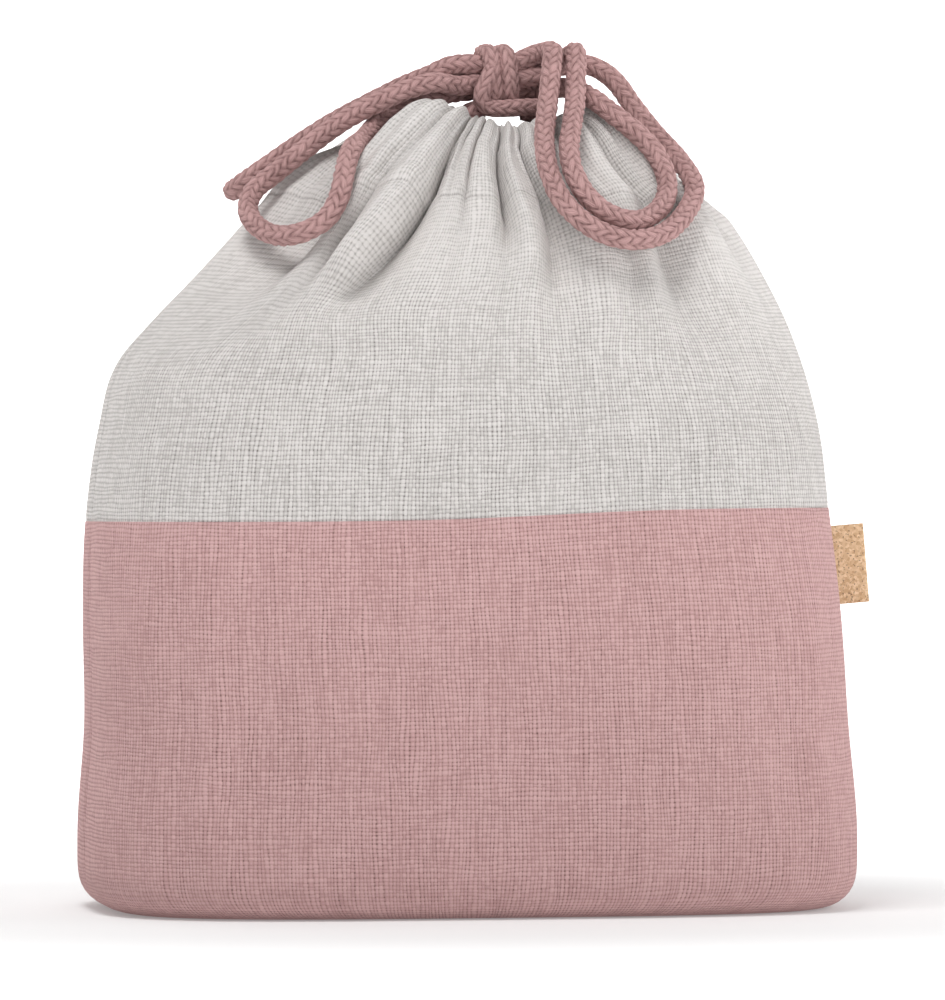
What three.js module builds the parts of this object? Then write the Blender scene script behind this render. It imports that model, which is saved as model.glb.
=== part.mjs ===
// Drawstring bento bag: two-colour canvas, gathered mouth, two drawcords tied in a bow, side tag.
// Millimetres, +Z up, front towards -Y, origin at the middle of the base where the bag stands.
import * as THREE from 'three';

// Bag body
const BASE_HALF_WIDTH = 94;
const BASE_HALF_DEPTH = 57;
const SEAM_HEIGHT = 96;
const SEAM_SLANT = 1.8;
const SHOULDER_HEIGHT = 137;
const CLOTH = 1.2;
const FOLD_RADIUS = 9;
const FLOOR_HEM = 2.5;
const SEAM_GAP = 0.3;
const BELLY = 1;
const SEAM_NARROWING = 4;
const CHEST_NARROWING = 6.5;
const SHOULDER_NARROWING = 13;
const SHOULDER_DEPTH_NARROWING = 6;
const SEAM_LEAN = -2.5;
const BASE_SQUARENESS = 3.4;
const SEAM_SQUARENESS = 3.1;
const SHOULDER_SQUARENESS = 2.8;
const MOUTH_SQUARENESS = 2;

// Gathered mouth
const MOUTH_HALF_WIDTH = 26;
const MOUTH_HALF_DEPTH = 20;
const MOUTH_HEIGHT = 187;
const MOUTH_LEAN = 9.5;
const MOUTH_SADDLE = 3.5;
const NECK_PROFILE = [[0, 0], [0.14, 0.08], [0.34, 0.21], [0.56, 0.36], [0.75, 0.51], [1, 0.85]];

// Folds of the gathered mouth: lines up the cloth, by turns a trough and a crest, from one side seam to
// the other. Each has its angle in degrees on the shoulder and at the mouth, and its lift out of the cloth
// at mid-neck and at the top.
const BACK_FOLDS = [
  [0, 0, -0.6, -1.2], [16, 15, 0.7, 1.8], [29, 29, -2, -3.4], [42, 42, 1.8, 2.6], [55, 54, -1.4, -2.4],
  [66, 64, 1.4, 2.4], [77, 77, -3, -4], [86, 88, 2.2, 2.8], [97, 97, -1.6, -2.8], [107, 108, 1.6, 2.2],
  [119, 121, -2.6, -3.8], [131, 133, 2, 2.6], [142, 145, -1.4, -2.4], [153, 156, 0.9, 1.4],
  [165, 167, -1, -1.8], [180, 180, 0.5, 1],
];
const FRONT_FOLDS = [
  [180, 180, 0.5, 1], [220, 218, -3.4, -4.8], [230, 229, 0.4, 2.6], [234, 235, 0, 1.6],
  [240, 242, 4, 4.6], [246, 248, -3.4, -4.8], [254, 251, 0.5, 1.8], [259, 255, -0.2, 0.2],
  [264, 260, 0.8, 1.2], [269, 264, 0, -3.4], [274, 270, 2.2, 2.4], [280, 274, -3.2, -3.6],
  [289, 284, 1.4, 2.2], [294, 290, -0.6, -1.4], [298, 296, 1, 2], [303, 307, -3.4, -4],
  [316, 319, 0.6, 0.2], [329, 332, -1.6, -2.4], [344, 344, 0.4, 1], [360, 360, -0.6, -1.2],
];
const FOLD_STEP = 8;
const FOLD_MID_SHARE = 0.42;
const FOLD_TOP_SHARE = 0.7;
const FOLD_EDGE_SHARE = 0.5;

// Casing: the hem tunnel, leaning inwards, open at both sides where the cords come out
const CASING_CORD_CLEARANCE = 0.6;
const CASING_GATHER = 1.2;
const CASING_SLACK = 1.2;
const CASING_LEAN = 50;
const CASING_OPENING = 28;
const CASING_EDGE_GAP = 0.5;
const CASING_SIDES = 12;

// Cords
const CORD = 5;
const CORD_SIDES = 8;
const CORD_GAP = 0.3;
const RUN_STEPS = 36;
const RUN_POINTS = 17;
const RUN_LEAVES_AT = 0.15;
const TURN_LENGTH = 3;
const TURN_DROP = 0.5;
const TURN_SPREAD = 0.7;
const LEAD_INSET = 11;
const LEAD_LENGTH = 14;
const LEAD_BEND = 2;
const LEAD_STEPS = 4;
const LOOP_STEPS = 16;

// Bow knot
const KNOT_SHIFT = -1.8;
const KNOT_RISE = 15.5;
const KNOT_CORD = 4.4;
const KNOT_STRAND_MELD = 0.1;
const KNOT_HALF_LENGTH = 5.2;
const WRAP_TURNS = 1.6;
const WRAP_STEPS = 30;

// Side tag
const TAG_REACH = 10.5;
const TAG_HEIGHT = 19.5;
const TAG_THICKNESS = 1.4;
const TAG_DROP = 13;

const roseCanvas = new THREE.MeshStandardMaterial({ color: 0xba9695, roughness: 0.95, metalness: 0 });
const naturalCanvas = new THREE.MeshStandardMaterial({ color: 0xd6d0cb, roughness: 0.95, metalness: 0 });
const roseCord = new THREE.MeshStandardMaterial({ color: 0xa88582, roughness: 0.9, metalness: 0 });
const cork = new THREE.MeshStandardMaterial({ color: 0xcda989, roughness: 0.85, metalness: 0 });

const { degToRad, lerp, smoothstep } = THREE.MathUtils;
const bag = new THREE.Group();

function addPiece(name, geometry, material) {
  const piece = new THREE.Mesh(geometry, material);
  piece.name = name;
  bag.add(piece);
  return piece;
}

function geometryOf(points, triangles) {
  const geometry = new THREE.BufferGeometry();
  geometry.setAttribute('position', new THREE.Float32BufferAttribute(points.flatMap((p) => p.toArray()), 3));
  geometry.setIndex(triangles);
  return geometry;
}

// Surface normal of a grid of points, from the differences to its neighbours, and in the plane
// between front and back on the side seams, where the first and last columns lie.
function gridNormal(grid, row, column) {
  const lastRow = grid.length - 1;
  const lastColumn = grid[0].length - 1;
  const along = grid[row][Math.min(column + 1, lastColumn)].clone();
  along.sub(grid[row][Math.max(column - 1, 0)]);
  const up = grid[Math.min(row + 1, lastRow)][column].clone();
  up.sub(grid[Math.max(row - 1, 0)][column]);
  const normal = along.cross(up);
  if (column === 0 || column === lastColumn) normal.setY(0);
  return normal.normalize();
}

// Cloth panel: a grid of outer points, thickened inwards by the cloth and closed along its four edges.
function clothPanel(grid) {
  const rows = grid.length;
  const columns = grid[0].length;
  const outer = grid.flat();
  const inner = grid.flatMap((line, row) => line.map((point, column) => (
    point.clone().addScaledVector(gridNormal(grid, row, column), -CLOTH))));
  const points = outer.concat(inner);
  const out = (row, column) => row * columns + column;
  const inn = (row, column) => outer.length + out(row, column);
  const triangles = [];
  const quad = (a, b, c, d) => triangles.push(a, b, c, a, c, d);
  for (let row = 0; row < rows - 1; row += 1) {
    for (let column = 0; column < columns - 1; column += 1) {
      quad(out(row, column), out(row, column + 1), out(row + 1, column + 1), out(row + 1, column));
      quad(inn(row, column), inn(row + 1, column), inn(row + 1, column + 1), inn(row, column + 1));
    }
    const end = columns - 1;
    quad(inn(row, 0), out(row, 0), out(row + 1, 0), inn(row + 1, 0));
    quad(out(row, end), inn(row, end), inn(row + 1, end), out(row + 1, end));
  }
  for (let column = 0; column < columns - 1; column += 1) {
    const top = rows - 1;
    quad(inn(0, column), inn(0, column + 1), out(0, column + 1), out(0, column));
    quad(out(top, column), out(top, column + 1), inn(top, column + 1), inn(top, column));
  }
  return geometryOf(points, triangles);
}

// Plan sections of the filled bag from the base to the shoulder and on to the mouth:
// height, half width, half depth, squareness (exponent of the superellipse) and sideways lean.
const neckRise = MOUTH_HEIGHT - SHOULDER_HEIGHT;
const shoulderHalfWidth = BASE_HALF_WIDTH - SHOULDER_NARROWING;
const shoulderHalfDepth = BASE_HALF_DEPTH - SHOULDER_DEPTH_NARROWING;
function neckSection([rise, narrowing]) {
  return [
    SHOULDER_HEIGHT + rise * neckRise,
    lerp(shoulderHalfWidth, MOUTH_HALF_WIDTH, narrowing),
    lerp(shoulderHalfDepth, MOUTH_HALF_DEPTH, narrowing),
    lerp(SHOULDER_SQUARENESS, MOUTH_SQUARENESS, rise),
    narrowing * MOUTH_LEAN,
  ];
}
const seamHalfWidth = BASE_HALF_WIDTH - SEAM_NARROWING;
const bellyHeight = SEAM_HEIGHT / 2;
const bellyHalfWidth = (BASE_HALF_WIDTH + seamHalfWidth) / 2;
const chestHeight = (SEAM_HEIGHT + SHOULDER_HEIGHT) / 2;
const chestHalfWidth = BASE_HALF_WIDTH - CHEST_NARROWING;
const sections = [
  [0, BASE_HALF_WIDTH, BASE_HALF_DEPTH - BELLY, BASE_SQUARENESS, 0],
  [bellyHeight, bellyHalfWidth, BASE_HALF_DEPTH + BELLY, BASE_SQUARENESS, SEAM_LEAN / 3],
  [SEAM_HEIGHT, seamHalfWidth, BASE_HALF_DEPTH, SEAM_SQUARENESS, SEAM_LEAN],
  [chestHeight, chestHalfWidth, BASE_HALF_DEPTH - BELLY, SEAM_SQUARENESS, SEAM_LEAN],
  ...NECK_PROFILE.map(neckSection),
];
const sectionAt = new THREE.CubicInterpolant(
  sections.map((section) => section[0]),
  sections.flatMap((section) => section.slice(1)),
  4,
);

// Point of the wall at a height, at an angle counted from the right side seam towards the back.
function wallPoint(angle, height, inset = 0) {
  const [halfWidth, halfDepth, squareness, lean] = sectionAt.evaluate(height);
  const a = halfWidth - inset;
  const b = halfDepth - inset;
  const bearing = Math.atan2(b * Math.sin(angle), a * Math.cos(angle));
  const across = Math.abs(Math.cos(bearing) / a) ** squareness;
  const deep = Math.abs(Math.sin(bearing) / b) ** squareness;
  const radius = (across + deep) ** (-1 / squareness);
  return new THREE.Vector3(lean + radius * Math.cos(bearing), radius * Math.sin(bearing), height);
}

// Bottom fold of the wall: a quarter round from the floor (turn 0) up into the wall (turn 1).
function foldPoint(angle, turn) {
  const slope = (turn * Math.PI) / 2;
  const point = wallPoint(angle, FOLD_RADIUS, FOLD_RADIUS * (1 - Math.sin(slope)));
  point.z = FOLD_RADIUS * (1 - Math.cos(slope));
  return point;
}

// Edge of the hem that lies flat on the floor inside the fold.
function hemPoint(angle) {
  return wallPoint(angle, FOLD_RADIUS, FOLD_RADIUS + FLOOR_HEM).setZ(0);
}

function seamHeightAt(angle) {
  return SEAM_HEIGHT + SEAM_SLANT * Math.cos(angle);
}

// Cross-section frame of the casing: its middle, the direction along the band and the one through it.
function casingFrame(angle) {
  const middle = new THREE.Vector3(
    MOUTH_LEAN + MOUTH_HALF_WIDTH * Math.cos(angle),
    MOUTH_HALF_DEPTH * Math.sin(angle),
    MOUTH_HEIGHT + MOUTH_SADDLE * Math.cos(2 * angle),
  );
  const outward = new THREE.Vector3(
    Math.cos(angle) / MOUTH_HALF_WIDTH, Math.sin(angle) / MOUTH_HALF_DEPTH, 0).normalize();
  const lean = degToRad(CASING_LEAN);
  const band = outward.clone().multiplyScalar(-Math.sin(lean));
  band.z = Math.cos(lean);
  const through = outward.clone().multiplyScalar(Math.cos(lean));
  through.z = Math.sin(lean);
  return { middle, band, through };
}

// Casing section: a bore for two cords, one above the other, with cloth and gathers round it.
const boreHalfThickness = CORD / 2 + CASING_CORD_CLEARANCE;
const boreHalfHeight = CORD + CORD_GAP / 2 + CASING_CORD_CLEARANCE;
const casingHalfThickness = boreHalfThickness + CLOTH + CASING_GATHER;
const casingHalfHeight = boreHalfHeight + CLOTH + CASING_SLACK;

// Columns of the cloth between two side seams: on the fold lines and at even steps between them, where the
// cloth rises from each trough as a quarter of a round.
function columnsAlong(folds) {
  return folds.flatMap((fold, index) => {
    const next = folds[index + 1] ?? fold;
    const steps = Math.max(1, Math.ceil((next[0] - fold[0]) / FOLD_STEP));
    return Array.from({ length: steps }, (_, step) => {
      const part = step / steps;
      const rounded = (from, to) => (to > from
        ? lerp(from, to, Math.sin((part * Math.PI) / 2))
        : lerp(to, from, Math.sin(((1 - part) * Math.PI) / 2)));
      return {
        shoulder: degToRad(lerp(fold[0], next[0], part)),
        mouth: degToRad(lerp(fold[1], next[1], part)),
        midLift: rounded(fold[2], next[2]),
        topLift: rounded(fold[3], next[3]),
      };
    });
  });
}

// Lift of a column's cloth at a share of the way up the neck.
function liftAt({ midLift, topLift }, share) {
  if (share < FOLD_MID_SHARE) return midLift * smoothstep(share, 0, FOLD_MID_SHARE);
  return lerp(midLift, topLift, Math.min(1, (share - FOLD_MID_SHARE) / (FOLD_TOP_SHARE - FOLD_MID_SHARE)));
}

const halves = [
  { side: 'back', start: 0, shift: SEAM_GAP / 2, columns: columnsAlong(BACK_FOLDS) },
  { side: 'front', start: Math.PI, shift: -SEAM_GAP / 2, columns: columnsAlong(FRONT_FOLDS) },
];
const shifted = (point, shift) => point.setY(point.y + shift);

// Base panel: flat, sewn to the folded lower edges of the walls.
const baseOutline = halves.flatMap(({ columns }) => columns.slice(0, -1));
const baseShape = new THREE.Shape(baseOutline.map(({ shoulder }) => {
  const point = wallPoint(shoulder, FOLD_RADIUS, FOLD_RADIUS + FLOOR_HEM + SEAM_GAP);
  return new THREE.Vector2(point.x, point.y);
}));
const baseGeometry = new THREE.ExtrudeGeometry(baseShape, { depth: CLOTH, bevelEnabled: false });
addPiece('base_panel', baseGeometry, roseCanvas);

// Lower panels: from the fold on the floor to just under the colour seam.
const foldTurns = [0, 0.25, 0.5, 0.75];
const lowerShares = [0, 0.25, 0.5, 0.75, 1];
for (const { side, shift, columns } of halves) {
  const angles = columns.map(({ shoulder }) => shoulder);
  const fold = foldTurns.map((turn) => angles.map((angle) => shifted(foldPoint(angle, turn), shift)));
  const wall = lowerShares.map((share) => angles.map((angle) => {
    const top = seamHeightAt(angle) - SEAM_GAP / 2;
    return shifted(wallPoint(angle, lerp(FOLD_RADIUS, top, share)), shift);
  }));
  const hem = angles.map((angle) => shifted(hemPoint(angle), shift));
  addPiece(`lower_${side}_panel`, clothPanel([hem, ...fold, ...wall]), roseCanvas);
}

// Upper panels: from the colour seam over the shoulder to the casing, in folds that grow towards
// the mouth.
const wallShares = [0, 0.33, 0.66, 1];
const neckShares = [0.14, 0.28, 0.42, 0.56, 0.7];
function neckPoint(column, share) {
  const angle = lerp(column.shoulder, column.mouth, share);
  const point = wallPoint(angle, SHOULDER_HEIGHT + share * neckRise);
  const outward = new THREE.Vector3(Math.cos(angle), Math.sin(angle), 1).normalize();
  point.addScaledVector(outward, liftAt(column, share));
  point.z += MOUTH_SADDLE * Math.cos(2 * angle) * share * share;
  return point;
}
function casingLift({ topLift }) {
  return Math.max(topLift, -CASING_GATHER);
}
function mouthEdgePoint(column) {
  const { middle, band, through } = casingFrame(column.mouth);
  const point = middle.clone().addScaledVector(band, -casingHalfHeight - CASING_EDGE_GAP);
  return point.addScaledVector(through, CLOTH / 2 + FOLD_EDGE_SHARE * casingLift(column));
}
for (const { side, shift, columns } of halves) {
  const wall = wallShares.map((share) => columns.map(({ shoulder }) => {
    const bottom = seamHeightAt(shoulder) + SEAM_GAP / 2;
    return shifted(wallPoint(shoulder, lerp(bottom, SHOULDER_HEIGHT, share)), shift);
  }));
  const neck = neckShares.map((share) => columns.map((column) => shifted(neckPoint(column, share), shift)));
  const edge = columns.map((column) => shifted(mouthEdgePoint(column), shift));
  addPiece(`upper_${side}_panel`, clothPanel([...wall, ...neck, edge]), naturalCanvas);
}

// Casings: hollow oval bands along half of the mouth each, which follow the folds outside.
function ovalRing(frame, halfHeight, halfThickness, lift = 0) {
  return Array.from({ length: CASING_SIDES }, (_, side) => {
    const turn = (side * 2 * Math.PI) / CASING_SIDES;
    const up = Math.sin(turn);
    const along = halfThickness * up + Math.sign(up) * (halfHeight - halfThickness);
    const flat = Math.abs(up) < 1e-9 ? 0 : along;
    const out = Math.cos(turn);
    return frame.middle.clone()
      .addScaledVector(frame.through, halfThickness * out + lift * FOLD_EDGE_SHARE * (1 + out))
      .addScaledVector(frame.band, flat);
  });
}
function casing(start, columns) {
  const opening = degToRad(CASING_OPENING);
  const first = start + opening;
  const end = start + Math.PI - opening;
  const held = columns.filter(({ mouth }) => mouth > first && mouth < end);
  const stretch = [{ ...held[0], mouth: first }, ...held, { ...held.at(-1), mouth: end }];
  const frames = stretch.map((column) => ({ ...casingFrame(column.mouth), lift: casingLift(column) }));
  const outer = frames.flatMap((frame) => (
    ovalRing(frame, casingHalfHeight, casingHalfThickness, frame.lift)));
  const bore = frames.flatMap((frame) => ovalRing(frame, boreHalfHeight, boreHalfThickness));
  const triangles = [];
  const quad = (a, b, c, d) => triangles.push(a, b, c, a, c, d);
  const out = (ring, side) => ring * CASING_SIDES + (side % CASING_SIDES);
  const inn = (ring, side) => outer.length + out(ring, side);
  const last = frames.length - 1;
  for (let side = 0; side < CASING_SIDES; side += 1) {
    for (let ring = 0; ring < last; ring += 1) {
      quad(out(ring, side), out(ring + 1, side), out(ring + 1, side + 1), out(ring, side + 1));
      quad(inn(ring, side), inn(ring, side + 1), inn(ring + 1, side + 1), inn(ring + 1, side));
    }
    quad(inn(0, side), out(0, side), out(0, side + 1), inn(0, side + 1));
    quad(out(last, side), inn(last, side), inn(last, side + 1), out(last, side + 1));
  }
  return geometryOf([...outer, ...bore], triangles);
}
for (const { side, start, columns } of halves) {
  addPiece(`${side}_casing`, casing(start, columns), naturalCanvas);
}

// A cord: a round section carried along a smooth curve through its route.
function cordAlong(route, steps, diameter = CORD) {
  const section = new THREE.Shape(Array.from({ length: CORD_SIDES }, (_, side) => {
    const turn = (side * 2 * Math.PI) / CORD_SIDES;
    return new THREE.Vector2(Math.cos(turn), Math.sin(turn)).multiplyScalar(diameter / 2);
  }));
  const path = route instanceof THREE.Curve ? route : new THREE.CatmullRomCurve3(route, false, 'centripetal');
  return new THREE.ExtrudeGeometry(section, { steps, extrudePath: path, bevelEnabled: false });
}

// Middle of the knot, and the heights that it gives to the leads: their top beside the wrap and
// their foot in the mouth.
const knot = new THREE.Vector3(MOUTH_LEAN + KNOT_SHIFT, 0, MOUTH_HEIGHT + KNOT_RISE);
const knotGap = (KNOT_CORD + CORD_GAP) / 2;
const lobe = knotGap + KNOT_STRAND_MELD;
const wrapReach = knotGap + lobe + CORD_GAP + KNOT_CORD / 2;
const leadTop = knot.z - wrapReach - KNOT_CORD / 2 + CORD_GAP;
const leadFoot = leadTop - LEAD_LENGTH;

// Drawcords: each runs right round the mouth inside both casings, one above the other, and turns
// inwards at its own side to meet the two leads that rise to the knot.
const strandGap = (CORD + CORD_GAP) / 2;
const leadReach = MOUTH_HALF_WIDTH - LEAD_INSET;
function drawcordRoute(sideAngle, level) {
  const sign = Math.cos(sideAngle);
  const onRing = (angle) => {
    const { middle, band } = casingFrame(angle);
    return middle.addScaledVector(band, level);
  };
  const casingEnd = degToRad(CASING_OPENING);
  const sweep = 2 * (Math.PI - casingEnd);
  const held = Array.from({ length: RUN_POINTS }, (_, step) => casingEnd + (step * sweep) / (RUN_POINTS - 1));
  const run = [RUN_LEAVES_AT, ...held, 2 * Math.PI - RUN_LEAVES_AT].map((turn) => onRing(sideAngle + turn));
  const reach = MOUTH_LEAN + sign * (leadReach + CORD / 2 + CORD_GAP);
  const height = leadFoot + CORD + TURN_SPREAD * level;
  const end = (depthSign) => [
    new THREE.Vector3(reach + sign * TURN_LENGTH, depthSign * strandGap, height + TURN_DROP),
    new THREE.Vector3(reach, depthSign * strandGap, height),
  ];
  const firstSide = Math.sign(run[0].y);
  return [...end(firstSide).reverse(), ...run, ...end(-firstSide)];
}
addPiece('left_drawcord', cordAlong(drawcordRoute(Math.PI, strandGap), RUN_STEPS), roseCord);
addPiece('right_drawcord', cordAlong(drawcordRoute(0, -strandGap), RUN_STEPS), roseCord);

// Knot core: the four strands of the tied cords, side by side.
const lobeMeeting = Math.acos(knotGap / lobe);
const coreShape = new THREE.Shape();
for (let quarter = 0; quarter < 4; quarter += 1) {
  const turn = (quarter * Math.PI) / 2;
  const centre = new THREE.Vector2(knotGap, knotGap).rotateAround(new THREE.Vector2(), turn);
  coreShape.absarc(centre.x, centre.y, lobe, turn - Math.PI / 2 + lobeMeeting, turn + Math.PI - lobeMeeting);
}
const coreAxis = new THREE.LineCurve3(
  knot.clone().setX(knot.x - KNOT_HALF_LENGTH), knot.clone().setX(knot.x + KNOT_HALF_LENGTH));
const coreGeometry = new THREE.ExtrudeGeometry(coreShape, {
  steps: 1, curveSegments: 5, extrudePath: coreAxis, bevelEnabled: false,
});
addPiece('knot_core', coreGeometry, roseCord);

// Knot wrap: one strand wound round the core, two passes in front, its ends tucked away behind.
const wrapPitch = KNOT_CORD + CORD_GAP;
class WrapCurve extends THREE.Curve {
  getPoint(share, target = new THREE.Vector3()) {
    const turns = (share - 0.5) * WRAP_TURNS;
    const angle = 2 * Math.PI * turns;
    const radius = wrapReach / (Math.cos(angle) ** 4 + Math.sin(angle) ** 4) ** 0.25;
    return target.set(
      knot.x + wrapPitch * turns, knot.y + radius * Math.cos(angle), knot.z + radius * Math.sin(angle));
  }
}
addPiece('knot_wrap', cordAlong(new WrapCurve(), WRAP_STEPS, KNOT_CORD), roseCord);

// Leads: two strands on each side, from the mouth up to the flank of the wrap, under the loops.
for (const [side, sign, bottomTurn] of [['left', -1, -0.25], ['right', 1, 0.75]]) {
  const flank = knot.x + wrapPitch * bottomTurn + sign * (KNOT_CORD / 2 + 2 * CORD_GAP);
  const foot = MOUTH_LEAN + sign * leadReach;
  const rise = new THREE.CubicBezierCurve3(
    new THREE.Vector3(foot, 0, leadFoot),
    new THREE.Vector3(foot, 0, leadTop - LEAD_BEND),
    new THREE.Vector3((foot + flank) / 2, 0, leadTop),
    new THREE.Vector3(flank, 0, leadTop),
  );
  for (const [place, depthSign] of [['front', -1], ['back', 1]]) {
    const lead = addPiece(`${side}_lead_${place}`, cordAlong(rise, LEAD_STEPS), roseCord);
    lead.position.y = depthSign * strandGap;
  }
}

// Bow loops: routes as offsets from the middle of the knot, ends square to the knot's flanks.
const loopEnd = KNOT_HALF_LENGTH + CORD_GAP;
const loopRoutes = {
  left_upper_loop: [
    [-7.5, -strandGap, strandGap], [-11, -2.75, 3.1], [-16, -2.9, 2.7], [-23, -3.1, 0], [-31, -3.4, -4.2],
    [-41, -3.7, -10.4], [-50.5, -4.1, -16.2], [-59, -4.2, -21.6], [-64.5, -2.2, -25.4], [-66.5, 2.4, -27],
    [-64.5, 7, -25.6], [-59, 9.4, -21.8], [-50.5, 9.4, -16.2], [-41, 8.4, -10.4], [-31, 7, -4.8],
    [-23, 5.4, -0.4], [-16, 4, 2.8], [-11, 3, 3.1], [-7.5, strandGap, strandGap],
  ],
  left_lower_loop: [
    [-7.5, strandGap, -strandGap], [-11, 2.7, -2.9], [-17, 2.4, -3.6], [-23, 0.6, -5], [-28.8, -2.4, -9],
    [-33, -8.5, -13.8], [-36, -16.5, -16.8], [-39.5, -24.5, -19.1], [-42.5, -31.2, -24.6],
    [-44.9, -35.1, -30.8],
    [-48.2, -36.5, -36], [-53.8, -35.5, -39.2], [-59, -30.5, -39.8], [-63, -23.5, -37.2], [-64.4, -17.5, -33],
    [-62.4, -13.2, -28.4], [-57, -11.2, -24], [-50, -10.4, -19.4], [-40.5, -9.6, -13.2], [-31, -9.2, -7.2],
    [-23, -8.6, -3], [-16.5, -7.5, -1.4], [-11, -4.3, -2.3], [-7.5, -strandGap, -strandGap],
  ],
  right_outer_loop: [
    [7, -strandGap, strandGap], [9.4, -3.4, 4], [11.4, -6.6, 6.4], [11.7, -11, 6.4], [10.7, -15, 3.2],
    [9.5, -18.8, -1.8], [8, -23.2, -8], [5.8, -31, -16.2], [5.4, -39, -24.3], [8, -44.5, -32],
    [14.6, -47.5, -38.2], [23, -47, -40.8], [32.3, -42.5, -39.4], [39.4, -34.5, -34], [43.2, -26, -27.6],
    [43, -17.5, -20.5], [40, -10, -13], [34.8, -4, -5.5], [29.3, -0.2, 0.7], [23.3, 2.2, 3.8],
    [16.3, 2.7, 3.6], [9, strandGap, 2.9], [7, strandGap, strandGap],
  ],
  right_inner_loop: [
    [7.5, -strandGap, -strandGap], [10.4, -2.7, -2.1], [14.4, -3.2, 1], [16.9, -5.4, 4.8],
    [17.6, -9.2, 6.6], [17, -13.2, 3.6], [16.2, -17, -1], [15.2, -21.4, -6.2], [13.3, -27.5, -12],
    [11.2, -34.5, -18.2], [11, -40.5, -24.2], [13.4, -43.5, -29.8], [18.6, -44.3, -34.4],
    [25.6, -42.4, -36.2],
    [31.2, -38.3, -34.2], [35.2, -33.3, -30], [36.2, -28.5, -24.6], [34.2, -25, -18.8],
    [29.6, -23.2, -13.6], [24.8, -21, -9.4], [20.6, -16.5, -5.4], [17, -9, -2.6], [13.4, -1.4, -2],
    [10.2, 2.2, -2.4], [7.5, strandGap, -strandGap],
  ],
};
for (const [name, offsets] of Object.entries(loopRoutes)) {
  const flanks = [offsets[0], offsets.at(-1)].map((end) => [Math.sign(end[0]) * loopEnd, end[1], end[2]]);
  const stretch = [flanks[0], ...offsets, flanks[1]];
  const route = stretch.map((offset) => new THREE.Vector3(...offset).add(knot));
  addPiece(name, cordAlong(route, LOOP_STEPS), roseCord);
}

// Side tag: a folded cork strip, standing out from the right side seam and following its slope.
const tagHeight = SEAM_HEIGHT - TAG_DROP;
const tagTop = wallPoint(0, tagHeight + TAG_HEIGHT / 2);
const tagFoot = wallPoint(0, tagHeight - TAG_HEIGHT / 2);
const tagRound = TAG_THICKNESS / 2;
const tagShape = new THREE.Shape();
tagShape.absarc(0, 0, tagRound, Math.PI / 2, (3 * Math.PI) / 2);
tagShape.absarc(TAG_REACH - TAG_THICKNESS, 0, tagRound, -Math.PI / 2, Math.PI / 2);
const tagGeometry = new THREE.ExtrudeGeometry(tagShape, {
  depth: TAG_HEIGHT, curveSegments: 6, bevelEnabled: false,
});
tagGeometry.translate(tagRound + SEAM_GAP, 0, -TAG_HEIGHT / 2);
const tag = addPiece('side_tag', tagGeometry, cork);
tag.position.copy(tagTop).add(tagFoot).multiplyScalar(0.5);
tag.rotation.y = Math.atan2(tagTop.x - tagFoot.x, tagTop.z - tagFoot.z);

export default bag;
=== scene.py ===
"""Drawstring bento bag of rose and natural canvas, its gathered mouth tied with braided cords in a bow."""
import math

import bpy
import numpy as np
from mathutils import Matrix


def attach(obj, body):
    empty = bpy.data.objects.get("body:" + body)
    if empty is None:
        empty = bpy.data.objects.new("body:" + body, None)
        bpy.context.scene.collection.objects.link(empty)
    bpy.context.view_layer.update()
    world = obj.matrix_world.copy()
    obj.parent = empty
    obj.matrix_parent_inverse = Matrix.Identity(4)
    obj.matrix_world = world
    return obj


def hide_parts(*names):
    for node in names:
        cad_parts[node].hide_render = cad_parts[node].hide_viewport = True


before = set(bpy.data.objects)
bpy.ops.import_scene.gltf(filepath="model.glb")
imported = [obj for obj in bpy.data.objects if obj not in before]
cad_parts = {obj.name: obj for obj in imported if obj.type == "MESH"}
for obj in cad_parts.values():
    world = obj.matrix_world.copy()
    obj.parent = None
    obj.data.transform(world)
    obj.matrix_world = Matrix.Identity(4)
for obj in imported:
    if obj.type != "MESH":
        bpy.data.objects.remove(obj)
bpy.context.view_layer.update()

# Canvas shell: one tube of coarse plain-woven cotton, filled below by a lunch box and drawn together
# above. All the cloth panels are cut from its grid, so that they meet along their seams. Lengths are in
# millimetres, and places round the bag are shares of the way from the right side seam round the back.
MM = 0.001
COLUMNS = 480
LOWER_ROWS, UPPER_ROWS, SHOULDER_ROWS, MOUTH_ROWS = 24, 14, 27, 42
RING_SAMPLES = 1441
FOLD_RADIUS = 9.0
FLOOR_HEM = 2.5
SEAM_HEIGHT = 96.0
# climb of the colour seam: half of its height, its middle and half width, and how far it fades up and down
SEAM_CLIMB, CLIMB_MIDDLE, CLIMB_WIDTH, CLIMB_FADE = 1.7, 12, 34, 28
SHOULDER = 134.0
CASING_START = 171.5
MOUTH_START = 174.0
MOUTH_STEP = 4.0
MOUTH_SQUARENESS = 2.05
RIM_SADDLE, RIM_DROP = 2.8, 0.2
CLOTH = 1.0
GATHERS = 60
CASING_PROUD, STITCH_DIP, STITCH_WIDTH = 0.35, 0.08, 1.1
SIDE_SEAMS = (0.0, 0.5)
SIDE_SEAM_WIDTH = 0.003
BOX_EDGES = (0.1, 0.39, 0.615, 0.905)
# ridge along each edge of the box and the hollows beside it: height and width, and depth and width
RIDGE, RIDGE_WIDTH, HOLLOW, HOLLOW_WIDTH = 1.3, 0.009, 0.6, 0.035
# metres round the tube when it lies flat
TUBE_LENGTH = 0.524
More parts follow.
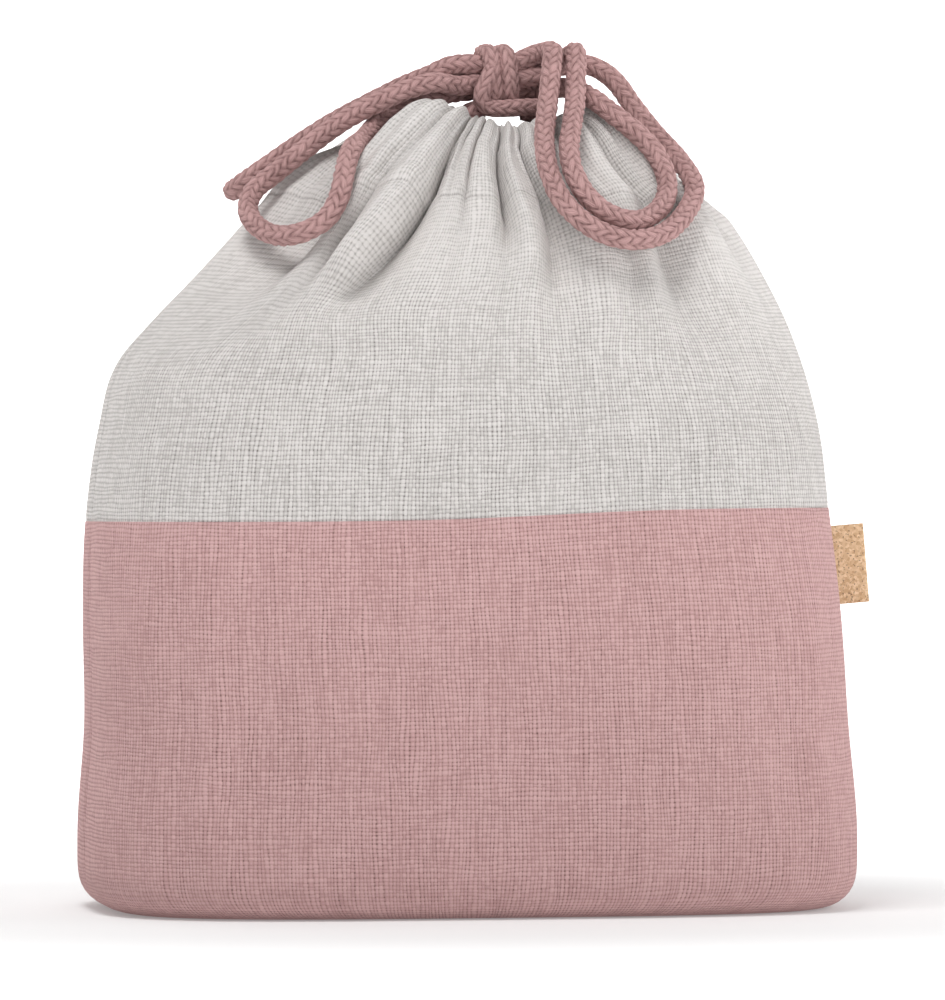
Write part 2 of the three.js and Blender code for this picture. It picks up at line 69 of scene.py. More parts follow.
# height, half width, half depth, squareness, sideways lean
SECTIONS = [
    (0, 94.0, 56.0, 3.4, 0.8), (20, 94.2, 57.0, 3.4, 0.9), (45, 92.2, 57.5, 3.4, 0.6),
    (70, 91.6, 58.0, 3.3, -0.4), (96, 90.0, 57.0, 3.1, -1.6), (118, 87.2, 55.5, 3.0, -1.3),
    (134, 83.0, 52.0, 2.8, -0.8), (144, 77.0, 48.4, 2.6, 1.7), (154, 69.6, 44.4, 2.5, 4.1),
    (164, 61.8, 40.2, 2.4, 5.9), (174, 53.0, 35.0, 2.25, 6.9),
]
# cloth past the last section, over the rim and down inside: height, half width, half depth, lean
MOUTH = [
    (174, 53.0, 35.0, 6.9), (179, 46.0, 31.4, 7.3), (182.8, 40.2, 28.8, 8.3), (186.0, 36.0, 26.6, 9.5),
    (189.0, 32.2, 24.2, 10.3), (191.6, 28.6, 21.0, 10.6), (192.9, 24.8, 17.4, 10.6),
    (192.3, 21.6, 14.2, 10.6), (188.8, 20.2, 12.6, 10.6), (184.0, 20.4, 12.8, 10.6),
]
# where the bow presses the mouth down: place round the bag, start up the cloth, shift of the cloth
DENTS = [(0.515, 179, (2.0, 0.0, -4.8)), (0.975, 168, (-3.4, 0.0, -3.2))]
DENT_WIDTH = 0.045
# folds of the mouth: lines up the cloth, by turns a trough and a crest, each with its place round the bag
# and its lift at the seven fold levels; below these the folds fade out over two more levels
FADE_LEVELS = [108, 120]
FOLD_LEVELS = [134, 146, 151, 156, 166, 176, 188]
FOLDS = [
    [(0.000, 0.000, 0.000, 0.000, 0.000, 0.000, 0.000), (0, -0.3, -0.45, -0.6, -1, -1.5, -2)],
    [(0.034, 0.034, 0.035, 0.035, 0.036, 0.036, 0.034), (0, 0.3, 0.45, 0.6, 1, 2, 3)],
    [(0.068, 0.066, 0.066, 0.065, 0.066, 0.068, 0.070), (-0.2, -0.8, -1.3, -1.8, -3, -3.8, -2.6)],
    [(0.102, 0.100, 0.100, 0.100, 0.102, 0.104, 0.104), (0.2, 0.8, 1.2, 1.6, 2.4, 2.8, 2.2)],
    [(0.136, 0.136, 0.137, 0.138, 0.140, 0.138, 0.134), (-0.1, -0.5, -0.85, -1.2, -2, -2.6, -2.4)],
    [(0.170, 0.172, 0.173, 0.174, 0.174, 0.170, 0.166), (0.2, 0.6, 0.9, 1.2, 2, 2.6, 2)],
    [(0.205, 0.205, 0.205, 0.206, 0.208, 0.210, 0.208), (-0.4, -1.4, -2.1, -2.8, -4.2, -4.6, -3)],
    [(0.240, 0.238, 0.238, 0.238, 0.240, 0.244, 0.246), (0.3, 1.2, 1.7, 2.2, 3.2, 3.2, 2.2)],
    [(0.275, 0.272, 0.271, 0.270, 0.270, 0.272, 0.276), (-0.1, -0.6, -1, -1.4, -2.4, -3, -2.4)],
    [(0.310, 0.308, 0.307, 0.306, 0.306, 0.308, 0.310), (0.1, 0.6, 1, 1.4, 2.2, 2.4, 2)],
    [(0.345, 0.346, 0.347, 0.348, 0.350, 0.350, 0.346), (-0.3, -1.2, -1.9, -2.6, -3.8, -4.2, -2.8)],
    [(0.380, 0.382, 0.383, 0.384, 0.384, 0.384, 0.382), (0.2, 1, 1.5, 2, 2.8, 3, 2.4)],
    [(0.412, 0.412, 0.413, 0.414, 0.416, 0.416, 0.414), (-0.1, -0.5, -0.85, -1.2, -2, -2.6, -2.6)],
    [(0.440, 0.440, 0.441, 0.442, 0.444, 0.444, 0.442), (0.1, 0.4, 0.6, 0.8, 1.2, 1.6, 2)],
    [(0.468, 0.468, 0.469, 0.470, 0.470, 0.470, 0.468), (0, -0.4, -0.65, -0.9, -1.4, -2, -2.2)],
    [(0.505, 0.507, 0.508, 0.508, 0.508, 0.506, 0.502), (0, 0.3, 0.4, 0.5, 0.6, 1, 2)],
    [(0.575, 0.588, 0.594, 0.600, 0.606, 0.592, 0.560), (-0.3, -1.2, -2.1, -3, -4.5, -5.5, -3)],
    [(0.605, 0.612, 0.615, 0.618, 0.621, 0.613, 0.594), (0.1, 0.3, 0.65, 1, 3, 4.8, 4.4)],
    [(0.627, 0.620, 0.623, 0.628, 0.632, 0.634, 0.631), (0, -0.8, -1, -0.6, 0.2, 1.4, 2.6)],
    [(0.643, 0.633, 0.635, 0.640, 0.652, 0.660, 0.651), (0.1, -0.4, 1, 6, 7.8, 6, 3.6)],
    [(0.664, 0.652, 0.653, 0.658, 0.669, 0.677, 0.666), (-0.2, -2, -4.8, -6.4, -8, -7, -2.4)],
    [(0.703, 0.695, 0.695, 0.695, 0.697, 0.695, 0.680), (0, 0.1, 0.25, 0.4, 1, 2, 1.8)],
    [(0.718, 0.712, 0.712, 0.711, 0.710, 0.706, 0.692), (0, -0.1, -0.15, -0.2, -0.3, 0.2, 0.6)],
    [(0.734, 0.730, 0.730, 0.730, 0.731, 0.728, 0.708), (0.1, 0.5, 0.65, 0.8, 1, 1.4, 1.3)],
    [(0.748, 0.745, 0.745, 0.745, 0.744, 0.738, 0.719), (0, 0.1, 0, -0.2, -4.6, -8.6, -4.4)],
    [(0.765, 0.762, 0.762, 0.762, 0.757, 0.748, 0.733), (0.2, 1, 1.8, 3.2, 4.2, 3.2, 1.2)],
    [(0.785, 0.781, 0.780, 0.779, 0.777, 0.770, 0.747), (-0.5, -1.8, -3, -4.6, -6, -4.8, -2.2)],
    [(0.810, 0.812, 0.812, 0.812, 0.810, 0.800, 0.781), (0.3, 1, 1.25, 1.5, 2, 2.5, 2)],
    [(0.826, 0.829, 0.829, 0.830, 0.828, 0.818, 0.804), (0, -0.2, -0.35, -0.5, -1, -1.5, -1.5)],
    [(0.840, 0.841, 0.841, 0.841, 0.839, 0.835, 0.828), (0.2, 0.6, 0.8, 1, 2, 2.5, 2.2)],
    [(0.862, 0.858, 0.858, 0.858, 0.862, 0.868, 0.861), (-0.5, -2, -2.75, -3.5, -4, -4.5, -2.6)],
    [(0.895, 0.895, 0.895, 0.895, 0.898, 0.900, 0.897), (0.3, 1, 1.25, 1.5, 2, 2.5, 2.6)],
    [(0.930, 0.930, 0.931, 0.932, 0.935, 0.935, 0.928), (-0.2, -0.8, -1.15, -1.5, -2, -2.5, -2.4)],
    [(0.965, 0.965, 0.966, 0.966, 0.967, 0.965, 0.960), (0, 0.2, 0.3, 0.4, 0.6, 1, 3.5)],
]


def bell(distance, width):
    """Bell curve: 1 at no distance, and 1/e at a width."""
    return np.exp(-(distance / width) ** 2)


def away_from(middle, places):
    """Distance of places round the bag from a middle, the shorter way."""
    return (places - middle + 0.5) % 1.0 - 0.5


def smooth_table(x, table):
    """Values at x of a table whose rows start with their position, by cubic pieces with central slopes."""
    table = np.asarray(table, float)
    knots, values = table[:, 0], table[:, 1:]
    slopes = np.gradient(values, knots, axis=0)
    i = np.clip(np.searchsorted(knots, x, side="right") - 1, 0, len(knots) - 2)
    span = (knots[i + 1] - knots[i])[:, None]
    u = (x - knots[i])[:, None] / span
    return ((1 + 2 * u) * (1 - u) ** 2 * values[i] + u * (1 - u) ** 2 * span * slopes[i]
            + u * u * (3 - 2 * u) * values[i + 1] + u * u * (u - 1) * span * slopes[i + 1])


def ring(share, half_width, half_depth, squareness):
    """Points of superellipses at shares of their length, counted from +X towards +Y, one ring per row."""
    power = squareness[:, None]

    def points(turn):
        """Points at an angle: there |x / half width| and |y / half depth|, to the power, add up to 1."""
        c, s = np.cos(turn), np.sin(turn)
        radius = (np.abs(c) ** power + np.abs(s) ** power) ** (-1 / power)
        return half_width[:, None] * radius * c, half_depth[:, None] * radius * s

    turn = np.linspace(0, 2 * np.pi, RING_SAMPLES)
    x, y = points(turn)
    steps = np.hypot(np.diff(x, axis=1), np.diff(y, axis=1))
    length = np.concatenate([np.zeros((len(x), 1)), np.cumsum(steps, axis=1)], axis=1)
    return points(np.stack([np.interp(part * run[-1], run, turn) for part, run in zip(share, length)]))


# rows of the grid, from the hem on the floor up to the end of the folded-in hem
turns = np.radians([0, 22, 45, 67])
fold_height = np.concatenate([[0.0], FOLD_RADIUS * (1 - np.cos(turns))])
fold_inset = np.concatenate([[FOLD_RADIUS + FLOOR_HEM], FOLD_RADIUS * (1 - np.sin(turns))])
fold_rows = len(fold_height)
fold_section = smooth_table(np.full(fold_rows, FOLD_RADIUS), SECTIONS)
fold_section[:, :2] -= fold_inset[:, None]
lower_heights = np.linspace(FOLD_RADIUS, SEAM_HEIGHT, LOWER_ROWS)
upper_heights = np.linspace(SEAM_HEIGHT, SHOULDER, UPPER_ROWS)[1:]
shoulder_heights = np.linspace(SHOULDER, MOUTH_START, SHOULDER_ROWS)[1:]
wall_heights = np.concatenate([lower_heights, upper_heights, shoulder_heights])
mouth_steps = np.linspace(0, len(MOUTH) - 1, MOUTH_ROWS)[1:]
mouth = smooth_table(mouth_steps, np.column_stack([np.arange(len(MOUTH)), MOUTH]))
mouth_section = np.insert(mouth[:, 1:], 2, MOUTH_SQUARENESS, axis=1)
row_height = np.concatenate([fold_height, wall_heights, mouth[:, 0]])
section = np.concatenate([fold_section, smooth_table(wall_heights, SECTIONS), mouth_section])
SEAM_ROW = fold_rows + len(lower_heights) - 1
CASING_ROW = fold_rows + int(np.searchsorted(wall_heights, CASING_START))
rows = len(row_height)

# how far up the cloth each row lies, and where the fold lines are on it
climb = np.concatenate([row_height[:-len(mouth)], MOUTH_START + MOUTH_STEP * mouth_steps])
levels = np.concatenate([FADE_LEVELS, FOLD_LEVELS])
line_share = np.array([places[0] for places, _ in FOLDS] + [1.0])
line_place = np.array([(places[0], places[0], *places) for places, _ in FOLDS] + [np.ones(len(levels))])
line_lift = np.array([(0, 0.3 * lifts[0], *lifts) for _, lifts in FOLDS] + [(0, 0, *FOLDS[0][1])])
on_level = np.clip(climb, levels[0], levels[-1])
line_place = smooth_table(on_level, np.column_stack([levels, line_place.T]))
line_lift = smooth_table(on_level, np.column_stack([levels, line_lift.T]))

# between a trough and a crest the cloth goes from a soft wave on the shoulder to a quarter of a tube at
# the mouth
half = COLUMNS // 2
share = np.arange(COLUMNS) / COLUMNS
line = np.searchsorted(line_share, share, side="right") - 1
part = (share - line_share[line]) / (line_share[line + 1] - line_share[line])
trough, crest = np.where(line % 2 == 0, (line, line + 1), (line + 1, line))
part = np.where(line % 2 == 0, part, 1 - part)
tube = np.interp(climb, [134, 146, 156, 166, 176], [0, 0.1, 0.3, 0.6, 0.85])[:, None]
onward = (1 - tube) * part + tube * (1 - np.cos(np.pi / 2 * part))
upright = (1 - tube) * (1 - np.cos(np.pi * part)) / 2 + tube * np.sin(np.pi / 2 * part)
place = line_place[:, trough] + onward * (line_place[:, crest] - line_place[:, trough])
lift = line_lift[:, trough] + upright * (line_lift[:, crest] - line_lift[:, trough])

# small gathers fill the casing and turn over inside it; its double cloth stands out and is held down by
# a stitch line
chance = np.random.default_rng(7)
gather_wave = np.cumsum(chance.uniform(0.55, 1.45, COLUMNS))
gather_wave = np.abs(np.sin(np.pi * GATHERS * gather_wave / gather_wave[-1]))
gather_size = np.interp(climb, [150, 162, 171, 180], [0, 0.15, 0.7, 2.0])[:, None]
lift += gather_size * (gather_wave - 0.6)
lift *= np.interp(climb, [193, 198, 202, 206], [1, 0.7, -0.5, -0.8])[:, None]
past_stitches = climb - CASING_START
stitched = CASING_PROUD * np.clip(past_stitches / 3, 0, 1) - STITCH_DIP * bell(past_stitches, STITCH_WIDTH)
lift += stitched[:, None]

# the box inside presses its upright edges softly through the lower cloth, and the side seams draw the
# cloth in
for edge in BOX_EDGES:
    away = away_from(edge, share)
    pressed = RIDGE * bell(away, RIDGE_WIDTH) - HOLLOW * bell(away, HOLLOW_WIDTH)
    lift += np.interp(row_height, [4, 22, 70, 100], [0, 1, 0.8, 0])[:, None] * pressed
for seam in SIDE_SEAMS:
    groove = np.interp(climb, [3, 12, 150, 165], [0, 0.9, 0.9, 0])[:, None]
    lift -= groove * bell(away_from(seam, share), SIDE_SEAM_WIDTH)


def sampled(grid, at):
    """Rows of a periodic grid read between their columns at places round the bag."""
    column = (at % 1.0) * COLUMNS
    first = np.floor(column).astype(int)
    part = column - first
    line = np.arange(len(grid))[:, None]
    return (1 - part) * grid[line, first % COLUMNS] + part * grid[line, (first + 1) % COLUMNS]


# the smooth shell without folds, its rim higher at both sides, and the folded shell that stands off it
even = np.tile(share, (rows, 1))
mean_x, mean_y = ring(even, section[:, 0], section[:, 1], section[:, 2])
mouth_share = np.clip((climb - 150) / 40, 0, 1) ** 2
mean_z = row_height[:, None] + mouth_share[:, None] * (RIM_SADDLE * np.cos(4 * np.pi * even) - RIM_DROP)
mean = np.stack([mean_x + section[:, 3:4], mean_y, mean_z], axis=2)
round_about = np.roll(mean, -1, axis=1) - np.roll(mean, 1, axis=1)
normal = np.cross(round_about, np.gradient(mean, axis=0))
normal /= np.linalg.norm(normal, axis=2, keepdims=True) + 1e-9
outward = np.stack([sampled(normal[:, :, k], place) for k in range(3)], axis=2)
shell = np.stack([sampled(mean[:, :, k], place) for k in range(3)], axis=2) + lift[:, :, None] * outward

# the bow presses the mouth down at both sides, and the colour seam climbs a little from left to right
for dent, start, shift in DENTS:
    fade = np.interp(climb, [start, start + 11, 194, 200], [0, 1, 1, 0.5])[:, None]
    pressed = bell(away_from(dent, place), DENT_WIDTH) * fade
    shell += pressed[:, :, None] * np.array(shift)
seam_pull = bell(row_height - SEAM_HEIGHT, CLIMB_FADE)[:, None]
shell[:, :, 2] += SEAM_CLIMB * seam_pull * np.tanh((shell[:, :, 0] - CLIMB_MIDDLE) / CLIMB_WIDTH)
shell[:, :, 2] = np.maximum(shell[:, :, 2], 0.0)

# cloth coordinates in metres: along the tube's edge and up its length
front_line = np.linalg.norm(np.diff(mean[:, 3 * COLUMNS // 4], axis=0), axis=1)
up_cloth = np.concatenate([[0], np.cumsum(front_line)]) * MM
round_cloth = np.arange(COLUMNS + 1) / COLUMNS * TUBE_LENGTH


class Socket:
    """An output of a shader node; arithmetic on it adds Math nodes, and node() adds any other node."""

    def __init__(self, tree, output):
        self.tree, self.output = tree, output

    def node(self, kind, inputs, output=0, **settings):
        """A new node of a kind, its settings, its inputs by name or number, and one of its outputs."""
        made = self.tree.nodes.new(kind)
        for key, value in settings.items():
            setattr(made, key, value)
        for key, value in inputs.items():
            if isinstance(value, Socket):
                self.tree.links.new(value.output, made.inputs[key])
            else:
                made.inputs[key].default_value = value
        return Socket(self.tree, made.outputs[output])

    def math(self, operation, *others):
        """A Math node on this output and on other outputs or numbers."""
        values = dict(enumerate((self, *others)))
        return self.node("ShaderNodeMath", values, operation=operation)

    def ramp(self, low, high, rise="SMOOTHSTEP"):
        """0 up to low and 1 from high on, with a smooth or a straight rise between."""
        limits = {"Value": self, "From Min": low, "From Max": high}
        return self.node("ShaderNodeMapRange", limits, interpolation_type=rise)

    def blend(self, first, second):
        """A colour that goes from the first to the second as this output goes from 0 to 1."""
        colours = {"Factor": self, 6: first, 7: second}
        return self.node("ShaderNodeMix", colours, output=2, data_type="RGBA")

    def __add__(self, other):
        return self.math("ADD", other)

    def __sub__(self, other):
        return self.math("SUBTRACT", other)

    def __rsub__(self, other):
        return (self * -1.0).math("ADD", other)

    def __mul__(self, other):
        return self.math("MULTIPLY", other)

    def __truediv__(self, other):
        return self.math("DIVIDE", other)

    __radd__ = __add__
    __rmul__ = __mul__


def material(name, roughness, sheen=0.0, tint=(1, 1, 1, 1)):
    """A new Principled material and its surface node; sheen is the share of fine upstanding fibres."""
    made = bpy.data.materials.new(name)
    made.use_nodes = True
    surface = made.node_tree.nodes["Principled BSDF"]
    surface.inputs["Roughness"].default_value = roughness
    surface.inputs["Specular IOR Level"].default_value = 0.15
    surface.inputs["Sheen Weight"].default_value = sheen
    surface.inputs["Sheen Tint"].default_value = tint
    surface.inputs["Sheen Roughness"].default_value = 0.5
    return made, surface


# metres between the upright threads of the canvas, and between the level ones
UPRIGHT_PITCH, LEVEL_PITCH = 0.00096, 0.001


def canvas(name, light, dark, painted_gap_shade):
    """Plain weave: two sets of round threads of uneven thickness that pass over and under each other, with
    gaps at the corners; painted shade darkens the gaps, the slits and the low parts of the threads; u counts
    the upright threads and v the level ones, both unevenly spaced."""
    made, surface = material(name, 0.95, 0.45, light)
    tree = made.node_tree
    cloth = Socket(tree, tree.nodes.new("ShaderNodeUVMap").outputs[0])
    across = cloth.node("ShaderNodeSeparateXYZ", {0: cloth})
    up = Socket(tree, across.output.node.outputs[1])

    def vector(x, y, z):
        """A vector of three outputs or numbers."""
        return cloth.node("ShaderNodeCombineXYZ", {0: x, 1: y, 2: z})

    def noise(x, y, detail, seed):
        """Soft noise over x and y, another for each seed."""
        inputs = {"Vector": vector(x, y, seed), "Scale": 1.0, "Detail": detail}
        return cloth.node("ShaderNodeTexNoise", inputs)

    u = across / UPRIGHT_PITCH + (noise(across * 190, up * 35, 2.0, 3.0) - 0.5) * 2.8
    v = up / LEVEL_PITCH + (noise(across * 45, up * 190, 2.0, 7.0) - 0.5) * 2.0
    cell_u, cell_v = u.math("FLOOR"), v.math("FLOOR")
    edge_u, edge_v = (u - cell_u - 0.5).math("ABSOLUTE"), (v - cell_v - 0.5).math("ABSOLUTE")
    line_u, line_v = u.math("ROUND"), v.math("ROUND")
    over = ((v - 0.5 + cell_u) * math.pi).math("COSINE")
    under = ((u - 0.5 + cell_v) * math.pi).math("COSINE") * -1.0
    round_u = 1.0 - (edge_u * 2.0).math("POWER", 2.0) + 0.5 * over
    round_v = 1.0 - (edge_v * 2.0).math("POWER", 2.0) + 0.5 * under
    height = round_u.math("MAXIMUM", round_v)

    # gaps at the corners and slits beside loose threads, both fainter where the cloth is gathered; both are
    # painted in a dark colour, the painted shade seen through the weave
    loose = noise(line_u * 0.83, up * 30, 2.0, 11.0).ramp(0.36, 0.7)
    half_u = 0.42 - 0.11 * loose
    half_v = 0.38 - 0.1 * noise(across * 30, line_v * 0.83, 2.0, 17.0).ramp(0.32, 0.72)
    corner = cloth.node("ShaderNodeTexWhiteNoise", {"Vector": vector(line_u, line_v, 0.0)})
    gathered = 1.0 - 0.7 * up.ramp(0.14, 0.175)
    open_weave = (0.45 + 0.2 * loose + 0.25 * corner) * gathered
    gap = (edge_u - half_u).ramp(-0.07, 0.1) * (edge_v - half_v).ramp(-0.14, 0.16) * open_weave
    slit = (edge_u - half_u).ramp(-0.05, 0.22) * (0.12 + 0.12 * loose) * gathered

    # each thread, each crossing and each patch of cloth has a tone of its own; painted shade darkens each
    # thread where it lies low, at its edges and where it dips under the other
    thread_u = noise(cell_u * 0.71, up * 60, 2.0, 23.0)
    thread_v = noise(across * 60, cell_v * 0.71, 2.0, 29.0)
    crossing = cloth.node("ShaderNodeTexWhiteNoise", {"Vector": vector(cell_u, cell_v, 5.0)})
    patch = noise(across * 45, up * 45, 3.0, 31.0)
    threads = thread_u * 0.6 + thread_v * 0.4
    shade = threads + 0.3 * (patch - 0.5) + 0.3 * (crossing - 0.5) + 0.6 * (height - 1.0)
    thread = (shade + 0.25 * (1.0 - gathered)).ramp(0.15, 0.9).blend(dark, light)
    colour = gap.math("MAXIMUM", slit).blend(thread, painted_gap_shade)
    bump = cloth.node("ShaderNodeBump", {"Height": height - 1.2 * gap, "Strength": 0.6, "Distance": 0.0003})
    tree.links.new(colour.output, surface.inputs["Base Color"])
    tree.links.new(bump.output, surface.inputs["Normal"])
    return made


# the last colour of each canvas is painted shade, the dark seen through the gaps of its weave
ROSE = canvas("rose_canvas", (0.585, 0.377, 0.37, 1), (0.445, 0.267, 0.26, 1), (0.15, 0.075, 0.07, 1))
NATURAL = canvas("natural_canvas", (0.655, 0.625, 0.608, 1), (0.46, 0.436, 0.42, 1), (0.17, 0.155, 0.145, 1))


def piece(name, grid, finish, uv=None, wrap=False):
    """A mesh over a grid of points in millimetres, with cloth coordinates; wrap joins its last column to
    its first."""
    lines, columns = grid.shape[:2]
    index = np.arange(lines * columns).reshape(lines, columns)
    right = np.roll(index, -1, axis=1) if wrap else index[:, 1:]
    left = index if wrap else index[:, :-1]
    faces = np.stack([left[:-1], right[:-1], right[1:], left[1:]], axis=2).reshape(-1, 4)
    mesh = bpy.data.meshes.new(name)
    mesh.from_pydata((grid.reshape(-1, 3) * MM).tolist(), [], faces.tolist())
    if uv is not None:
        layer = mesh.uv_layers.new(name="cloth")
        layer.data.foreach_set("uv", uv.reshape(-1, 2)[faces.ravel()].astype(np.float32).ravel())
    mesh.polygons.foreach_set("use_smooth", np.ones(len(faces), bool))
    mesh.materials.append(finish)
    made = bpy.data.objects.new(name, mesh)
    bpy.context.collection.objects.link(made)
    return made


TUCK_DEPTH = 1.4


def cloth_panel(name, first, last, side, finish, skip=0, tucked=0):
    """One panel of the shell: rows first to last of its back or front half, less some columns at the side
    seams, with some of its first rows tucked behind the panel below."""
    start = half * (side == "front")
    columns = np.arange(start + skip, start + half + 1 - skip)
    lines = np.arange(first, last + 1)
    behind = np.where(lines < first + tucked, TUCK_DEPTH, 0.0)[:, None, None]
    cut = np.ix_(lines, columns % COLUMNS)
    grid = shell[cut] - behind * outward[cut]
    uv = np.stack(np.meshgrid(round_cloth[columns], up_cloth[lines]), axis=2)
    made = piece(name, grid, finish, uv)
    smooth = made.modifiers.new("smooth", "SUBSURF")
    smooth.levels = smooth.render_levels = 1
    smooth.boundary_smooth = "PRESERVE_CORNERS"
    thick = made.modifiers.new("cloth", "SOLIDIFY")
    thick.thickness = CLOTH * MM
    thick.offset = -1
    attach(made, "bag")
    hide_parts(name)


# Base panel: a flat piece of rose canvas under the box, sewn to the hems of the lower panels. The photo
# doesn't show it.
BASE_LIFT = 0.2
base_ring = shell[0] * np.array([1, 1, 0])
base_steps = np.linspace(0.02, 1, 12)[:, None, None]
base_middle = np.array([SECTIONS[0][4], 0, 0])
base_grid = base_middle + base_steps * (base_ring - base_middle) + np.array([0, 0, BASE_LIFT])
base = piece("base_cloth", base_grid, ROSE, base_grid[:, :, :2] * MM, wrap=True)
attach(base, "bag")
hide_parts("base_panel")

# Lower panels: rose canvas from the hem on the floor, round a soft fold, up to the seam with the natural
# canvas, sewn to each other along both side seams.
for side in ("back", "front"):
    cloth_panel(f"lower_{side}_panel", 0, SEAM_ROW, side, ROSE)

# Upper panels: natural canvas from the seam over the shoulder to the casing, in folds that grow towards
# the mouth.
for side in ("back", "front"):
    cloth_panel(f"upper_{side}_panel", SEAM_ROW - 1, CASING_ROW, side, NATURAL,
                tucked=1)

# Casings: the upper edge of the natural canvas turned in and sewn down as a tunnel for the cords, open at
# both side seams.
for side in ("back", "front"):
    cloth_panel(f"{side}_casing", CASING_ROW - 2, rows - 1, side, NATURAL,
                skip=4, tucked=2)

# Drawcords: two braided cotton cords that run right round the mouth inside both casings, one above the
# other, and turn inwards at their own side.
CORD = 5.0
CORD_GAP = 0.3
STRAND = (CORD + CORD_GAP) / 2
BEND_SOFTNESS = 1.2
BRAID_STRANDS, BRAID_LAY = 8, 2.7
# share of the diameter from the cord's middle to the gaps of its braid, and from these to its crowns
BRAID_FLOOR, BRAID_CROWN = 0.38, 0.135
KNOT = np.array([8.8, 0.0, 202.5])
MOUTH_MIDDLE = np.array([10.6, 0.0, 187.0])
MOUTH_REACH = np.array([22.5, 16.2])
LEAD_FOOT = np.array([12.8, 179.3])
CASING_LEAN = math.radians(50)
# the drawcords' ring: how far it lies below the mouth's middle, its rise and fall, and its open angle
RING_DROP, RING_WAVE, RING_OPEN = 2.2, 1.3, 0.15
# its two ends: the share of the cord's level that they keep, and the length and rise of their outer part
END_LEVEL, END_REACH, END_RISE = 0.7, 3, 0.5


def even_steps(points, step):
    """Points at even steps along a line of points, read straight between them."""
    run = np.concatenate([[0], np.cumsum(np.linalg.norm(np.diff(points, axis=0), axis=1))])
    even_run = np.linspace(0, run[-1], max(int(round(run[-1] / step)), 4) + 1)
    return np.stack([np.interp(even_run, run, points[:, k]) for k in range(3)], axis=1)


def smooth_path(points, step):
    """Even steps along a curve of cubic pieces through the points, its bends rounded by a bell curve; both
    ends go on straight for that."""
    points = np.asarray(points, float)
    chords = np.sqrt(np.linalg.norm(np.diff(points, axis=0), axis=1))
    knots = np.concatenate([[0], np.cumsum(chords)])
    curve = smooth_table(np.linspace(0, knots[-1], 40 * len(points)), np.column_stack([knots, points]))
    path = even_steps(curve, step)
    reach = int(4 * BEND_SOFTNESS / step)
    weights = np.exp(-0.5 * (np.arange(-reach, reach + 1) * step / BEND_SOFTNESS) ** 2)
    ends = np.arange(1, reach + 1)[:, None]
    before = path[0] - ends[::-1] * (path[1] - path[0])
    after = path[-1] + ends * (path[-1] - path[-2])
    longer = np.concatenate([before, path, after])
    rounded = [np.convolve(longer[:, k], weights / weights.sum(), "valid") for k in range(3)]
    return even_steps(np.stack(rounded, axis=1), step)


def plait(turn, run, strands, lay):
    """Height of a braid and place across its uppermost strand, both 0 to 1: strands wind both ways round the
    cord, and each passes over two of the others and under two; p and q count the strands of each way."""
    uneven = 0.12 * np.sin(1.9 * run + 2 * turn) + 0.1 * np.sin(0.83 * run - 3 * turn)
    p = strands * turn / (2 * np.pi) + run / lay + uneven
    q = strands * turn / (2 * np.pi) - run / lay + 0.14 * np.sin(1.37 * run - 2 * turn)
    over = np.cos(np.pi / 2 * (q - 1 + np.floor(p)))
    under = -np.cos(np.pi / 2 * (p - 1 + np.floor(q)))
    one = 1 - np.abs(2 * (p % 1) - 1) ** 4 + 0.5 * over
    other = 1 - np.abs(2 * (q % 1) - 1) ** 4 + 0.5 * under
    return np.clip(np.maximum(one, other) / 1.5, 0, 1), np.where(one > other, p % 1, q % 1)


def braided(name, routes, diameter, body, step=0.27, sides=64):
    """A braided cord, or several in one piece, along routes: the plait's height moves the wall of a tube,
    whose sides are carried along the route without a twist."""
    grids, heights, yarns, faces, count = [], [], [], [], 0
    for route in routes:
        path = smooth_path(route, step)
        ahead = np.gradient(path, axis=0)
        ahead /= np.linalg.norm(ahead, axis=1, keepdims=True)
        side = np.cross(ahead[0], [0.3, 0.2, 1.0])
        sideways = np.empty_like(path)
        for i, direction in enumerate(ahead):
            side = side - direction * (side @ direction)
            side /= np.linalg.norm(side)
            sideways[i] = side
        above = np.cross(ahead, sideways)
        turn = np.linspace(0, 2 * np.pi, sides, endpoint=False)[None, :]
        run = np.arange(len(path))[:, None] * step
        height, yarn = plait(turn, run, BRAID_STRANDS, BRAID_LAY * diameter / CORD)
        radius = diameter * (BRAID_FLOOR + BRAID_CROWN * height)
        grid = path[:, None] + radius[..., None] * (
            np.cos(turn)[..., None] * sideways[:, None] + np.sin(turn)[..., None] * above[:, None])
        index = count + np.arange(grid.shape[0] * sides).reshape(-1, sides)
        right = np.roll(index, -1, axis=1)
        faces.append(np.stack([index[:-1], right[:-1], right[1:], index[1:]], axis=2).reshape(-1, 4))
        grids.append(grid.reshape(-1, 3))
        heights.append(height.ravel())
        yarns.append(yarn.ravel())
        count += grid.shape[0] * sides
    mesh = bpy.data.meshes.new(name)
    mesh.from_pydata((np.concatenate(grids) * MM).tolist(), [], np.concatenate(faces).tolist())
    mesh.polygons.foreach_set("use_smooth", np.ones(len(mesh.polygons), bool))
    for key, values in (("plait", heights), ("yarn", yarns)):
        layer = mesh.attributes.new(key, "FLOAT", "POINT")
        layer.data.foreach_set("value", np.concatenate(values).astype(np.float32))
    mesh.materials.append(COTTON)
    made = bpy.data.objects.new(name, mesh)
    bpy.context.collection.objects.link(made)
    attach(made, body)
    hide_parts(name)
    return made


